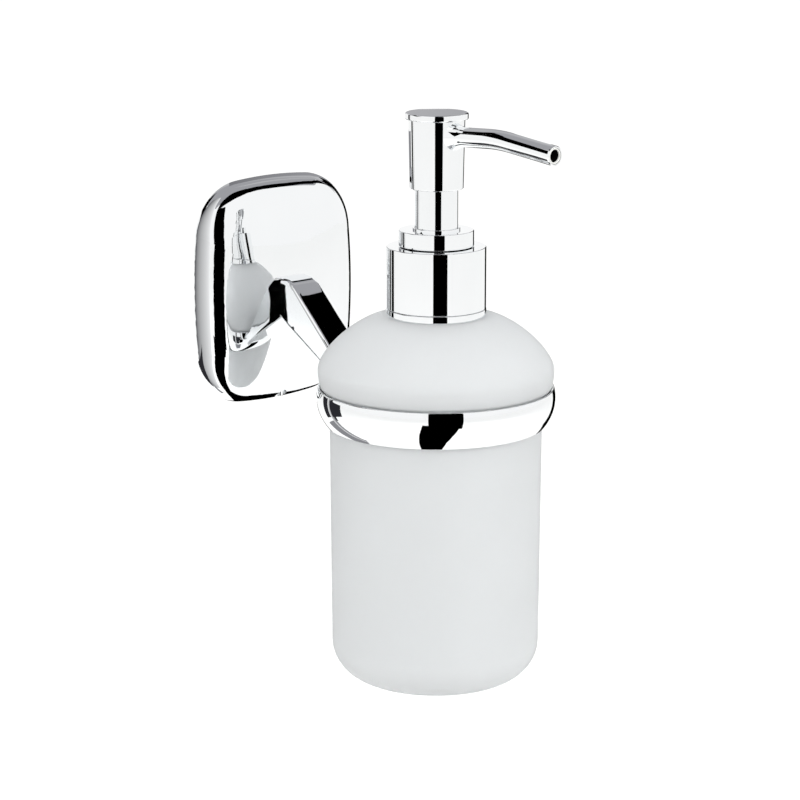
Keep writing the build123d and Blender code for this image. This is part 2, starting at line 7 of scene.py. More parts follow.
# %% Load the frame
import bmesh
import bpy
from math import cos, pi, radians, sin, tan
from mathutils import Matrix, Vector


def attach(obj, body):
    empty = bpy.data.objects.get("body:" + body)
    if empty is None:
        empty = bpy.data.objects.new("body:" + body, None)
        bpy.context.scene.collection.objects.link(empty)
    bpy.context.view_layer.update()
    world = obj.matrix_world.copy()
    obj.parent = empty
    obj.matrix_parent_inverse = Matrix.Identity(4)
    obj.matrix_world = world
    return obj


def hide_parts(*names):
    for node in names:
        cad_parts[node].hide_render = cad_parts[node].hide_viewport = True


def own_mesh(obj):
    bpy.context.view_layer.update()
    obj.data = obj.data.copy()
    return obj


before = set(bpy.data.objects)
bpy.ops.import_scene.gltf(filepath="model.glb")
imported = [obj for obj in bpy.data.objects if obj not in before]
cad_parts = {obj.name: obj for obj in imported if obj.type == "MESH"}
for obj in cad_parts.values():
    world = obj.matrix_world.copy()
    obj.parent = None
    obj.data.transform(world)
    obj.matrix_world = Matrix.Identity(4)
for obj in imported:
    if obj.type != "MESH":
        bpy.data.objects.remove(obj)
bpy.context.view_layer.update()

mm = 0.001

# %% [markdown]
# ## The view
# Something this small is best seen through a long lens from nearly a metre away, so that
# its parallel sides stay parallel. The camera looks down a little, from the left of the
# wall's normal. The Standard view shows each colour as it is written.

# %% Camera
eye = Vector((-558.0, -685.9, 168.1)) * mm
ring_centre = Vector((0, -83.5, -24)) * mm
camera_turn, camera_dip, lens_mm = -42, 13.27, 117.35
camera = bpy.data.objects.new("camera", bpy.data.cameras.new("camera"))
bpy.context.scene.collection.objects.link(camera)
camera.location = eye
camera.rotation_euler = (radians(90 - camera_dip), 0, radians(camera_turn))
camera.data.lens = lens_mm
camera.data.clip_start = 0.01
camera.data.clip_end = 60
bpy.context.scene.camera = camera
bpy.context.scene.view_settings.view_transform = "Standard"
print("camera is", round((eye - ring_centre).length, 3), "m from the ring")

# %% [markdown]
# ## Nodes
# Every material below is a small tree of nodes. One helper adds a node with its settings,
# its values and what feeds it, so that each material reads from top to bottom. Colours are
# written as the hex values a paint program shows, which have to be turned to linear light.


# %% Node helper
def add(tree, kind, settings={}, values={}, links={}):
    """Add a node; settings are its options, values its inputs, links what feeds them."""
    made = tree.nodes.new(kind)
    for name, value in settings.items():
        setattr(made, name, value)
    for name, value in values.items():
        made.inputs[name].default_value = value
    for name, socket in links.items():
        tree.links.new(socket, made.inputs[name])
    return made


def linear(code):
    """Linear colour of an sRGB hex value."""
    parts = [int(code[i:i + 2], 16) / 255 for i in (1, 3, 5)]
    return [c / 12.92 if c <= 0.04045 else ((c + 0.055) / 1.055) ** 2.4 for c in parts] + [1]


def blank(name):
    """New material with an empty tree and its output node."""
    material = bpy.data.materials.new(name)
    material.use_nodes = True
    tree = material.node_tree
    tree.nodes.clear()
    return material, tree, tree.nodes.new("ShaderNodeOutputMaterial")


print("white is", linear("#FFFFFF")[:3])

# %% [markdown]
# ## A white room
# Chrome has no look of its own: it shows the room. The room here is a plain white one. To
# the camera, to mirrors and to glass it is pure white, and it lights matt surfaces a little
# less, so that the lamps can give them shape.

# %% World
matt_strength, seen_strength = 0.9, 1.0
world = bpy.data.worlds.new("white_room")
bpy.context.scene.world = world
world.use_nodes = True
tree = world.node_tree
tree.nodes.clear()
rays = add(tree, "ShaderNodeLightPath")
seen = add(tree, "ShaderNodeMath", {"operation": "MAXIMUM"},
           links={0: rays.outputs["Is Camera Ray"], 1: rays.outputs["Is Glossy Ray"]})
seen = add(tree, "ShaderNodeMath", {"operation": "MAXIMUM"},
           links={0: seen.outputs[0], 1: rays.outputs["Is Transmission Ray"]})
strength = add(tree, "ShaderNodeMapRange",
               values={"To Min": matt_strength, "To Max": seen_strength},
               links={"Value": seen.outputs[0]})
glow = add(tree, "ShaderNodeBackground", values={"Color": linear("#FFFFFF")},
           links={"Strength": strength.outputs[0]})
add(tree, "ShaderNodeOutputWorld", links={"Surface": glow.outputs[0]})
print("world strength", matt_strength, "for matt surfaces,", seen_strength, "for what is seen")

# %% [markdown]
# The floor is a wide sheet of white paper well below the object, which hangs on a wall. It
# is matt, with the faint mottling of paper, and glows a little where the camera, a mirror or
# glass sees it, so that it reads as white and still keeps a shadow.

# %% Floor
floor_level, floor_width = -0.42, 24
camera_glow, mirror_glow = 0.22, 0.15
bpy.ops.object.select_all(action="DESELECT")
bpy.ops.mesh.primitive_plane_add(size=floor_width, location=(0, 0, floor_level))
floor = bpy.context.object
floor.name = "floor"
paper, tree, out = blank("white_paper")
place = add(tree, "ShaderNodeTexCoord")
mottle = add(tree, "ShaderNodeTexNoise", values={"Scale": 40, "Detail": 3},
             links={"Vector": place.outputs["Object"]})
shade = add(tree, "ShaderNodeMixRGB", values={"Color1": linear("#F2F2F1"),
                                              "Color2": linear("#F6F6F5")},
            links={"Fac": mottle.outputs["Fac"]})
rays = add(tree, "ShaderNodeLightPath")
mirrored = add(tree, "ShaderNodeMath", {"operation": "MAXIMUM"},
               links={0: rays.outputs["Is Glossy Ray"],
                      1: rays.outputs["Is Transmission Ray"]})
mirrored = add(tree, "ShaderNodeMath", {"operation": "MULTIPLY"}, {1: mirror_glow},
               {0: mirrored.outputs[0]})
lift = add(tree, "ShaderNodeMath", {"operation": "MULTIPLY_ADD"}, {1: camera_glow},
           {0: rays.outputs["Is Camera Ray"], 2: mirrored.outputs[0]})
face = add(tree, "ShaderNodeBsdfPrincipled",
           values={"Roughness": 0.9, "Emission Color": linear("#FFFFFF")},
           links={"Base Color": shade.outputs[0], "Emission Strength": lift.outputs[0]})
tree.links.new(face.outputs[0], out.inputs["Surface"])
floor.data.materials.append(paper)
print("floor at", floor_level)

# %% [markdown]
# ## Black cards
# In an all white room chrome would have no edges. A studio stands black cards around it, out
# of view, and the metal shows them as dark bands that draw its shape. Each card here is a
# plane that only mirrors see. It is placed by its direction from the object: degrees round
# from the camera, degrees up, and the angle that it covers.

# %% Card helpers
middle = Vector((0, -0.07, 0))
up = Vector((0, 0, 1))
black = "#000000"
card_reach, card_foot = 0.8, -0.45


def towards(turn, rise):
    """Direction from the object, by degrees round from the camera and degrees up."""
    spin, lift = radians(turn + camera_turn), radians(rise)
    return Vector((sin(spin) * cos(lift), -cos(spin) * cos(lift), sin(lift)))


def clothe(made, name, tone, end_tone=None, side="X", fall=1.0):
    """Give a card a glowing tone at each end, and show it to mirrors only."""
    made.name = name
    cloth, tree, out = blank(name + "_cloth")
    spot = add(tree, "ShaderNodeTexCoord")
    along = add(tree, "ShaderNodeSeparateXYZ", links={"Vector": spot.outputs["Object"]})
    share = add(tree, "ShaderNodeMapRange", values={"From Min": -0.5, "From Max": 0.5},
                links={"Value": along.outputs[side]})
    share = add(tree, "ShaderNodeMath", {"operation": "POWER"}, {1: fall},
                {0: share.outputs[0]})
    blend = add(tree, "ShaderNodeMixRGB", values={"Color1": linear(tone),
                                                  "Color2": linear(end_tone or tone)},
                links={"Fac": share.outputs[0]})
    # The tone glows, as each card is a sheet that only mirrors see; on some the fade between two
    # tones is painted shade.
    card_glow = add(tree, "ShaderNodeEmission", links={"Color": blend.outputs[0]})
    tree.links.new(card_glow.outputs[0], out.inputs["Surface"])
    made.data.materials.append(cloth)
    made.visible_camera = False
    made.visible_diffuse = False
    made.visible_shadow = False
    made.visible_transmission = False


def card(name, place, face, width, height, tone, end_tone=None, side="X", fall=1.0):
    """Stand a flat card at a place, turned to face a direction."""
    bpy.ops.object.select_all(action="DESELECT")
    bpy.ops.mesh.primitive_plane_add(size=1, location=place)
    made = bpy.context.object
    made.rotation_euler = face.to_track_quat("Z", "Y").to_euler()
    made.scale = (width, height, 1)
    clothe(made, name, tone, end_tone, side, fall)


print("cards stand", card_reach, "m from", middle)

# %% Standing cards


def standing(name, turn, angle, top):
    """Stand a tall black card that covers an angle, up to its top in metres."""
    way = towards(turn, 0)
    card(name, middle + way * card_reach + up * (card_foot + top) / 2, way,
         2 * card_reach * tan(radians(angle / 2)), top - card_foot, black)


standing("front_card", 9, 32, 1.0)
standing("right_card", 159, 23, 0.41)
standing("left_card", -119.5, 11, 0.5)
print("three cards stand round the object")

# %% [markdown]
# The thin lines that run round the rim of the plate are the edge between the white room and
# a dark strip that bends overhead, and another that bends under the object. Behind the
# strips the room is grey, and that grey fills the rim outside the line. Each strip is given
# by the directions of its two edges, as the rim of the plate sees them. A third strip draws
# the dark band along the spout, and is given as the spout sees it.

# %% Bent strips
strip_drop = 0.37


def strip(name, start, edges):
    """Bend a black card through pairs of directions that are seen from a start point.

    Where they point down, the card stops at a drop below the start, clear of the floor.
    """
    bpy.ops.object.select_all(action="DESELECT")
    bpy.ops.mesh.primitive_grid_add(x_subdivisions=len(edges) - 1, y_subdivisions=1, size=1)
    made = bpy.context.object
    ways = [near for near, far in edges] + [far for near, far in edges]
    for corner, way in zip(made.data.vertices, ways):
        heading = towards(*way)
        floor_reach = strip_drop / -heading.z if heading.z < 0 else card_reach
        corner.co = start + heading * min(card_reach, floor_reach)
    clothe(made, name, black)


strip("overhead_strip", Vector((0, -0.006, 0.034)),
      [((-4, 47), (22, 47)), ((0, 60), (9, 49)), ((52, 73), (40, 53)), ((99, 65), (69, 53)),
       ((118, 56), (100, 50)), ((120, 49), (106, 45)), ((131, 41), (118, 40)),
       ((142, 29), (128, 31)), ((158, 14), (136, 22)), ((168, 5), (148, 10))])
strip("foot_strip", Vector((-0.012, -0.006, -0.033)),
      [((-8, -15), (25, -15)), ((-9, -41), (24, -41)), ((-6, -59), (27, -57)),
       ((10, -80), (57, -76)), ((175, -76), (123, -70)), ((182, -60), (141, -56)),
       ((184, -46), (147, -51)), ((188, -36), (158, -43)), ((190, -14), (170, -14))])
strip("spout_strip", Vector((0, -0.115, 0.062)),
      [((-136, 46), (-122, 26)), ((-116, 47), (-104, 24)), ((-92, 36), (-90, 14)),
       ((-62, 32), (-80, 4))])
card("ceiling_sheet", Vector((0.45, 0.375, 1.7)), up, 3.1, 2.25, "#A2A2A6")
behind = towards(190, 0)
card("back_sheet", middle + behind * 1.3 + up * 1.42, behind, 3.4, 1.8,
     "#CACACC", "#98989C", "Y")
print("three bent strips and two grey sheets hung")

# %% [markdown]
# Small cards close behind the object give the fine tones. Three of them glow with a wall's
# light and shade painted in. The hanging card is painted shade, darker away from the plate,
# that greys the disc of the cap, and the card behind the plate is the painted shade of the
# wall round it, which tones the upper rim of the plate. The card under the spout draws the
# dark line on its underside and darkens the left end of the ring. The corner sheet tones the
# ring's lower edge there, and the rim card, white fading to dark, is the plate's painted
# shadow on the wall, which shades the left rim of the plate.

# %% Cards close behind
outward = Vector((0, -1, 0))
behind_wall = 0.004


def hung(name, side, level, width, height, tone, end_tone=None):
    """Hang a card just behind the wall's plane, by its middle and its size in metres."""
    card(name, Vector((side, behind_wall, level)), outward, width, height, tone, end_tone)


# Painted shade of a wall: a glowing grey, darker away from the plate, seen in the cap's disc.
hung("painted_wall_shade_card", 0.075, 0.12, 0.11, 0.09, "#BCBCBE", "#A0A0A4")
# Painted shade of the wall round the plate: a glowing grey, darker at its left.
hung("painted_shade_behind_plate", 0.0095, 0.025, 0.05, 0.05, "#7C7C80", "#9C9CA0")
hung("spout_under_card", -0.066, -0.042, 0.06, 0.036, "#2C2C30")
hung("corner_sheet", -0.045, -0.115, 0.04, 0.095, "#8C8C90")
# Painted shadow of the plate on the wall: white fading to dark, seen nearly edge on by the left
# rim.
card("painted_plate_shadow_card", Vector((-0.0615, 0.0105, 0)), Vector((0.891, 0.454, 0)), 0.0595, 0.3,
     "#FFFFFF", "#4C4C50", fall=0.5)
print("five cards hang close by")

# %% [markdown]
# ## Lamps
# Two wide soft lamps give the matt and frosted surfaces their shape, one high in front and
# one at the right. They are kept out of the mirrors, because the white room is already there.

# %% Lamps
lamp_reach = 1.6


def lamp(name, turn, rise, size, power):
    """Hang a square soft lamp that points at the object."""
    way = towards(turn, rise)
    light = bpy.data.lights.new(name, "AREA")
    light.size = size
    light.energy = power
    made = bpy.data.objects.new(name, light)
    bpy.context.scene.collection.objects.link(made)
    made.location = middle + way * lamp_reach
    made.rotation_euler = way.to_track_quat("Z", "Y").to_euler()
    made.visible_glossy = False


lamp("front_lamp", -20, 50, 1.2, 10)
lamp("right_lamp", 60, 25, 1.0, 6)
print("two lamps lit,", lamp_reach, "m away")

# %% [markdown]
# ## Polished chrome
# Brass or zinc castings and pressings are ground and buffed, then plated with nickel and a
# very thin layer of chromium. The eye gets a clean cool mirror. Buffing leaves two things
# that show only in the edges of a reflection: a very shallow waviness some millimetres wide,
# and fine hairlines that soften the mirror here and there.

# %% Polished chrome
chrome, tree, out = blank("polished_chrome_plating")
place = add(tree, "ShaderNodeTexCoord")
wave = add(tree, "ShaderNodeTexNoise", values={"Scale": 1 / (14 * mm), "Detail": 1},
           links={"Vector": place.outputs["Object"]})
buffed = add(tree, "ShaderNodeBump", values={"Strength": 0.05, "Distance": 0.02 * mm},
             links={"Height": wave.outputs["Fac"]})
hair = add(tree, "ShaderNodeTexNoise", values={"Scale": 1 / (2.5 * mm), "Detail": 4},
           links={"Vector": place.outputs["Object"]})
haze = add(tree, "ShaderNodeMapRange", values={"To Min": 0.015, "To Max": 0.04},
           links={"Value": hair.outputs["Fac"]})
tint = add(tree, "ShaderNodeMixRGB", values={"Color1": linear("#F3F5F6"),
                                             "Color2": linear("#F7F8F9")},
           links={"Fac": wave.outputs["Fac"]})
metal = add(tree, "ShaderNodeBsdfPrincipled", values={"Metallic": 1.0},
            links={"Base Color": tint.outputs[0], "Roughness": haze.outputs[0],
                   "Normal": buffed.outputs[0]})
tree.links.new(metal.outputs[0], out.inputs["Surface"])
print(chrome.name, "ready")

# %% [markdown]
# ## Frosted glass
# The bottle is blown soda-lime glass whose surface is etched with acid. The etched skin is
# matt and scatters the light, so the bottle looks like white mist: bright, a little darker
# where the wall is seen edge on, and nothing inside has a sharp outline.

# %% Frosted glass
frosted, tree, out = blank("acid_etched_glass")
place = add(tree, "ShaderNodeTexCoord")
grain = add(tree, "ShaderNodeTexNoise", values={"Scale": 1 / (0.35 * mm), "Detail": 2},
            links={"Vector": place.outputs["Object"]})
etched = add(tree, "ShaderNodeBump", values={"Strength": 0.12, "Distance": 0.02 * mm},
             links={"Height": grain.outputs["Fac"]})
cloud = add(tree, "ShaderNodeTexNoise", values={"Scale": 1 / (22 * mm), "Detail": 2},
            links={"Vector": place.outputs["Object"]})
tint = add(tree, "ShaderNodeMixRGB", values={"Color1": linear("#F0F2F3"),
                                             "Color2": linear("#F4F6F7")},
           links={"Fac": cloud.outputs["Fac"]})
matt = add(tree, "ShaderNodeMapRange", values={"To Min": 0.55, "To Max": 0.62},
           links={"Value": cloud.outputs["Fac"]})
glass = add(tree, "ShaderNodeBsdfPrincipled",
            values={"IOR": 1.5, "Transmission Weight": 0.45},
            links={"Base Color": tint.outputs[0], "Roughness": matt.outputs[0],
                   "Normal": etched.outputs[0]})
tree.links.new(glass.outputs[0], out.inputs["Surface"])
print(frosted.name, "ready")

# %% [markdown]
# ## Plastics, rubber and hardware
# The parts inside are injection moulded or bought in. They share one recipe: a base colour
# with a slight cloudiness, a roughness and a fine texture from how each is made.

# %% Inner materials


def moulded(name, pale, dark, rough, grain_mm, height_mm, more):
    """Material of two close colours with a fine surface texture."""
    material, tree, out = blank(name)
    place = add(tree, "ShaderNodeTexCoord")
    noise = add(tree, "ShaderNodeTexNoise", values={"Scale": 1 / (grain_mm * mm), "Detail": 3},
                links={"Vector": place.outputs["Object"]})
    relief = add(tree, "ShaderNodeBump", values={"Strength": 0.3, "Distance": height_mm * mm},
                 links={"Height": noise.outputs["Fac"]})
    tint = add(tree, "ShaderNodeMixRGB", values={"Color1": linear(dark),
                                                 "Color2": linear(pale)},
               links={"Fac": noise.outputs["Fac"]})
    skin = add(tree, "ShaderNodeMapRange",
               values={"To Min": rough - 0.05, "To Max": rough + 0.05},
               links={"Value": noise.outputs["Fac"]})
    body = add(tree, "ShaderNodeBsdfPrincipled", values=more,
               links={"Base Color": tint.outputs[0], "Roughness": skin.outputs[0],
                      "Normal": relief.outputs[0]})
    tree.links.new(body.outputs[0], out.inputs["Surface"])
    return material


polypropylene = moulded("moulded_white_polypropylene", "#F1F1EE", "#E9E9E6", 0.38, 0.6, 0.01,
                        {"IOR": 1.49})
clear_plastic = moulded("moulded_natural_polyethylene", "#EDEEEC", "#E4E6E4", 0.35, 0.8, 0.01,
                        {"IOR": 1.51, "Transmission Weight": 0.6})
rubber = moulded("moulded_nitrile_rubber", "#2B2B2C", "#232324", 0.62, 0.5, 0.02,
                 {"IOR": 1.52})
zinc = moulded("zinc_plated_strip", "#C3C8CC", "#AEB4B9", 0.32, 1.2, 0.01, {"Metallic": 1.0})
stainless = moulded("drawn_stainless_steel", "#C9C8C5", "#B9B8B5", 0.22, 0.4, 0.005,
                    {"Metallic": 1.0})
# A near-black copy of the polypropylene: painted shade for the dark inside the spout's bore.
unlit = moulded("polypropylene_painted_bore_shade", "#101010", "#080808", 0.6, 0.6, 0.01,
                {"IOR": 1.49, "Specular IOR Level": 0.1})
finish = {"polished_chrome": chrome, "frosted_glass": frosted,
          "zinc_plated_steel": zinc, "stainless_steel": stainless,
          "white_plastic": polypropylene, "clear_plastic": clear_plastic,
          "gasket_rubber": rubber}
print("finishes for", sorted(finish))

# %% [markdown]
# ## Turned pieces
# Most of the dispenser is round about one upright line, the bottle's axis: blown glass,
# turned brass and spun caps. A lathe hand thinks in radii and heights, so these pieces
# start as one ring of edges, which is extruded from one radius and height to the next. Long
# curves are stepped through, and sharp corners get a small round afterwards, because a
# polished edge always catches a line of light.

# %% Start and extrude
axis = Vector((0, -83.5, 0)) * mm


def ring_of_edges(name, radius, height, sides=160):
    """Start a piece as one ring about the bottle's axis, open in edit mode."""
    bpy.ops.object.select_all(action="DESELECT")
    bpy.ops.mesh.primitive_circle_add(vertices=sides, radius=radius * mm,
                                      location=axis + Vector((0, 0, height * mm)))
    piece = bpy.context.object
    piece.name = name
    bpy.ops.object.mode_set(mode="EDIT")
    bpy.ops.mesh.select_mode(type="VERT")
    bpy.ops.mesh.select_all(action="SELECT")
    return piece


def ring_now():
    """Radius and height of the selected ring, in millimetres."""
    piece = bpy.context.object
    mesh = bmesh.from_edit_mesh(piece.data)
    point = next(vert.co for vert in mesh.verts if vert.select)
    return point.xy.length / mm, (piece.location.z + point.z) / mm


def pull(*rings):
    """Extrude the selected ring through each (radius, height) in turn."""
    for radius, height in rings:
        old_radius, old_height = ring_now()
        rise = (height - old_height) * mm
        bpy.ops.mesh.extrude_region_move(TRANSFORM_OT_translate={"value": (0, 0, rise)})
        growth = radius / old_radius
        bpy.ops.transform.resize(value=(growth, growth, 1), center_override=axis)


print("bottle axis at", axis)

# %% Close and round
close_by, round_steps = 0.02, 4


def close_wall():
    """Join the last ring to the first, so that the wall closes on itself."""
    bpy.ops.mesh.select_all(action="DESELECT")
    bpy.ops.mesh.select_non_manifold(extend=False, use_wire=False, use_multi_face=False,
                                     use_non_contiguous=False, use_verts=False)
    bpy.ops.mesh.bridge_edge_loops()


def close_centre():
    """Draw the selected ring together into one point, which closes a disc."""
    bpy.ops.mesh.extrude_region_move()
    bpy.ops.mesh.merge(type="CENTER")


def pick_start(radius):
    """Select the ring that the piece started from, by its radius."""
    bpy.ops.mesh.select_all(action="DESELECT")
    mesh = bmesh.from_edit_mesh(bpy.context.object.data)
    for vert in mesh.verts:
        level = abs(vert.co.z) / mm < close_by
        vert.select_set(level and abs(vert.co.xy.length / mm - radius) < close_by)
    mesh.select_flush_mode()


def round_off(width, *corners):
    """Round the ring of edges at each (radius, height) to a width in millimetres."""
    piece = bpy.context.object
    bpy.ops.mesh.select_mode(type="EDGE")
    bpy.ops.mesh.select_all(action="DESELECT")
    mesh = bmesh.from_edit_mesh(piece.data)
    for edge in mesh.edges:
        ends = [(v.co.xy.length / mm, (piece.location.z + v.co.z) / mm) for v in edge.verts]
        for radius, height in corners:
            if all(abs(r - radius) < close_by and abs(h - height) < close_by
                   for r, h in ends):
                edge.select_set(True)
    bmesh.update_edit_mesh(piece.data)
    bpy.ops.mesh.bevel(offset=width * mm, segments=round_steps, affect="EDGES")
    bpy.ops.mesh.select_mode(type="VERT")


print("corners are found within", close_by, "mm and rounded in", round_steps, "steps")

# %% Dress a piece
weld, smooth_up_to = 0.0005, 32


def dress(piece, body, slot, *nodes):
    """Clean the mesh, bring its object to the origin and put it on the frame."""
    bpy.ops.mesh.select_all(action="SELECT")
    bpy.ops.mesh.remove_doubles(threshold=weld * mm)
    bpy.ops.mesh.normals_make_consistent(inside=False)
    bpy.ops.object.mode_set(mode="OBJECT")
    bpy.ops.object.transform_apply(location=True, rotation=True, scale=True)
    bpy.ops.object.shade_smooth_by_angle(angle=radians(smooth_up_to))
    bpy.ops.object.modifier_add(type="WEIGHTED_NORMAL")
    piece.modifiers[-1].keep_sharp = True
    bpy.ops.object.modifier_apply(modifier=piece.modifiers[-1].name)
    piece.data.materials.clear()
    piece.data.materials.append(finish[slot])
    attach(piece, body)
    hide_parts(*nodes)
    print(piece.name, "has", len(piece.data.polygons), "faces, size",
          [round(side / mm, 2) for side in piece.dimensions])


print("pieces are smooth up to", smooth_up_to, "degrees between two faces")

# %% Curves


def swing(centre, radius, start, end, steps):
    """Rings along an arc in the upright plane, by its centre, radius and two angles."""
    for step in range(1, steps + 1):
        turn = radians(start + (end - start) * step / steps)
        yield centre[0] + radius * cos(turn), centre[1] + radius * sin(turn)


def drawn(start, first, second, end, steps):
    """Rings along a curve with two handles, as a pen tool draws it."""
    for step in range(1, steps + 1):
        t = step / steps
        shares = (1 - t) ** 3, 3 * t * (1 - t) ** 2, 3 * t * t * (1 - t), t ** 3
        yield tuple(sum(share * point[k] for share, point in
                        zip(shares, (start, first, second, end))) for k in (0, 1))


print("a quarter turn in two rings:", [[round(v, 3) for v in ring]
                                       for ring in swing((0, 0), 1, 0, 90, 2)])

# %% [markdown]
# ## The bottle
# The glass is blown in a mould: a thick base with a round heel, straight sides, a cone that
# sits in the ring, and a wide shoulder that swells out over the ring before it draws in to
# the neck. The outside is pulled down from the mouth to the base, and so is the inside, 2.7
# mm within it, so that light passes through two real skins of glass.

# %% Bottle outside
mouth_radius, bottle_sides = 9.6, 192
bottle = ring_of_edges("frosted_bottle", mouth_radius, 18.3, bottle_sides)
pull((12.3, 18.3), (12.3, 2.6), (16.4, 2.6))
pull(*drawn((16.4, 2.6), (24.67, 2.6), (38.15, -9.18), (38.15, -15.25), 28))
pull(*drawn((38.15, -15.25), (38.15, -17.0), (37.9, -18.9), (37.4, -20.4), 8))
pull((34.4, -24.4), (34.32, -40), (34.2, -60), (34.05, -85), (33.9, -105.8))
pull(*swing((21.7, -105.8), 12.2, 0, -90, 16))
pull((16.3, -118), (3, -117.2))
close_centre()
print("outside closed at the base")

# %% Bottle inside
pick_start(mouth_radius)
pull((mouth_radius, -0.1))
pull(*drawn((mouth_radius, -0.1), (21.97, -0.1), (35.45, -10.53), (35.45, -15.25), 24))
pull((35.42, -17), (35.24, -18.78), (31.7, -23.5), (31.5, -60), (31.2, -102.5))
pull(*swing((21.7, -102.5), 9.5, 0, -90, 14))
pull((12, -112), (3, -112))
close_centre()
round_off(0.5, (12.3, 18.3), (mouth_radius, 18.3))
dress(bottle, "bottle_body", "frosted_glass", "bottle")

# %% [markdown]
# ## The ring
# The holder is a cast ring, ground to a low barrel shape outside, so that it narrows towards
# its lower edge. Inside it has a cone for the bottle's seat, a groove for a thin plastic
# liner, and a small lip that keeps the liner in.

# %% Ring
ring_foot, barrel_height, barrel_steps = -33.1, 9.1, 12
widest, foot_inset, foot_bow, top_inset = 38.66, 3.32, 2.15, 0.041026
ring = ring_of_edges("cast_ring", 35.3, ring_foot)
for step in range(1, barrel_steps + 1):
    share = step / barrel_steps
    inset = top_inset * share + foot_inset * (1 - share) ** foot_bow
    pull((widest - inset, ring_foot + barrel_height * share))
pull((38.58, -22.9), (38.42, -21.8), (38.2, -20.8), (37.7, -20.8), (36.53, -22.06),
     (37.17, -22.54), (35.6, -24.63), (35.6, -30), (34.8, -30), (34.8, ring_foot))
close_wall()
round_off(0.25, (38.2, -20.8), (34.8, ring_foot))
dress(ring, "wall_mount", "polished_chrome", "holder_ring")

# %% [markdown]
# ## Neck ring, collar and lock nut
# Three stepped rings carry the pump: a thin threaded ring on the glass, the screw collar
# over it, and the nut that clamps the pump. All are brass turned on a lathe. Their corners
# are almost sharp, with rounds of a few tenths that polishing leaves.

# %% Neck ring
neck_ring = ring_of_edges("threaded_neck_ring", 12.35, 2.65)
pull((16.1, 2.65), (16.1, 5.0), (13.4, 5.0), (13.4, 19.3), (9.6, 19.3), (9.6, 18.35),
     (12.35, 18.35))
close_wall()
round_off(0.25, (16.1, 2.65), (16.1, 5.0), (13.4, 19.3))
dress(neck_ring, "bottle_body", "polished_chrome", "neck_ring")

# %% Collar
collar = ring_of_edges("screw_collar", 15.3, 5.05)
pull((16, 5.05), (16, 25.05), (9.4, 25.05), (9.4, 24.35), (15.3, 24.35))
close_wall()
round_off(0.3, (16, 5.05), (16, 25.05))
round_off(0.12, (9.4, 25.05))
dress(collar, "collar", "polished_chrome", "collar_shell")

# %% Lock nut
nut = ring_of_edges("clamping_nut", 8.5, 22.15)
pull((9.2, 22.15), (9.2, 25.25), (12.05, 25.25), (12.05, 30.35), (7.6, 30.35),
     (7.6, 31.05), (6.95, 31.05), (6.95, 26.95), (8.5, 26.95))
close_wall()
round_off(0.25, (12.05, 30.35), (12.05, 25.25))
round_off(0.15, (7.6, 31.05), (6.95, 31.05))
dress(nut, "pump", "polished_chrome", "lock_nut")

# %% [markdown]
# ## Sleeve, barrel and cap
# The head slides on a thin drawn tube. The barrel above it is slightly wider at its top, and
# a separate pressed cap closes it with a crisp rim that stands out by a millimetre.

# %% Sleeve
head_sides = 128
sleeve = ring_of_edges("drawn_sleeve", 6.1, 27.45, head_sides)
pull((6.9, 27.45), (6.9, 46.25), (6.1, 46.25))
close_wall()
round_off(0.1, (6.9, 27.45), (6.9, 46.25))
dress(sleeve, "head", "polished_chrome", "stem_sleeve")

# %% Barrel
barrel = ring_of_edges("head_barrel", 6.95, 43.55, head_sides)
pull((8.6, 43.55), (9.05, 65.55), (7.75, 65.55), (7.75, 64.15), (6.95, 64.15))
close_wall()
round_off(0.35, (8.6, 43.55))
round_off(0.12, (6.95, 43.55), (9.05, 65.55))
dress(barrel, "head", "polished_chrome", "pump_head")

# %% Cap
hub_radius, crown_level, crown_width, crown_drop, crown_steps = 0.8, 67.9, 8.7, 0.15, 8
cap = ring_of_edges("pressed_cap", hub_radius, crown_level, head_sides)
for step in range(1, crown_steps + 1):
    share = step / crown_steps
    pull((hub_radius + crown_width * share, crown_level - crown_drop * share ** 2))
pull((10.1, 67.75), (10.1, 65.6), (7.7, 65.6), (7.7, 64.2), (hub_radius, 64.2))
close_centre()
pick_start(hub_radius)
close_centre()
round_off(0.55, (10.1, 67.75))
round_off(0.4, (10.1, 65.6))
dress(cap, "head", "polished_chrome", "head_cap")

# %% [markdown]
# ## The spout
# The spout is a drawn tube that rises a little, bends, and falls a little to its tip. Where
# it leaves the barrel it flares like a trumpet. A ring of edges stands upright at the root
# and is carried out along the line of the spout, shrinking through the flare, and then back
# in along the bore. A white plastic tube inside ends flush with the tip. A thin near-black
# lining in its bore is painted shade, for the dark where no light reaches.

# %% Line of the spout
line_level, root_reach, bend_reach, half_bend, tip_reach = 60.35, 7.3, 28.5, 5, 52.6
climb, descent = sin(radians(3)), sin(radians(6.3))


def spout_level(reach):
    """Height of the spout's line, whose bend is drawn as part of a parabola."""
    bent = min(max(reach - bend_reach + half_bend, 0), 2 * half_bend)
    beyond = max(reach - bend_reach - half_bend, 0)
    drop = (climb + descent) * (bent ** 2 / (4 * half_bend) + beyond)
    return line_level + climb * reach - drop


print("spout is at", [round(spout_level(reach), 2) for reach in
                      (root_reach, bend_reach, tip_reach)])

# %% Helpers for tubes
tube_sides = 64


def upright_ring(name, reach, radius):
    """Start a tube as an upright ring at a reach from the bottle's axis."""
    bpy.ops.object.select_all(action="DESELECT")
    place = axis + Vector((0, -reach, spout_level(reach))) * mm
    bpy.ops.mesh.primitive_circle_add(vertices=tube_sides, radius=radius * mm,
                                      location=place, rotation=(pi / 2, 0, 0))
    piece = bpy.context.object
    piece.name = name
    bpy.ops.object.transform_apply(location=False, rotation=True, scale=False)
    bpy.ops.object.mode_set(mode="EDIT")
    bpy.ops.mesh.select_mode(type="VERT")
    bpy.ops.mesh.select_all(action="SELECT")
    return piece


